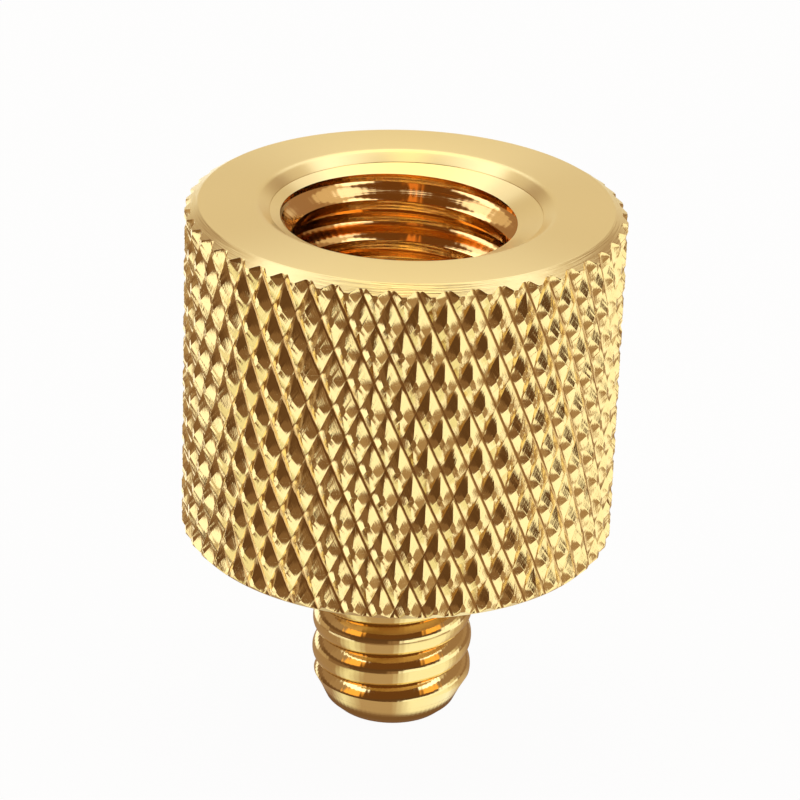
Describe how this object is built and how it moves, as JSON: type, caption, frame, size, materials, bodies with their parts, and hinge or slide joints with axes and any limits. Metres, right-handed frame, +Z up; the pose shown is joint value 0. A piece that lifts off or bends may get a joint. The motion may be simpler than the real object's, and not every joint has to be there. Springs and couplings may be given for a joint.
{
  "type": "tripod thread adapter",
  "caption": "Turned brass adapter: a short diamond-knurled barrel with a threaded socket in its top and a smaller threaded stud below, which fits a camera to a tripod screw",
  "frame": {"origin": "centre of the stud's flat tip, on the surface that the adapter stands on", "axes": "+Z up along the common axis of stud, barrel and socket, out of the socket's mouth; X and Y across the barrel"},
  "size_m": [0.016, 0.016, 0.0202],
  "materials": {
    "brass": "bright turned brass: satin faces, polished threads and sharp rolled diamond knurl"
  },
  "bodies": {
    "root": {"thread_adapter": "brass"}
  },
  "joints": []
}
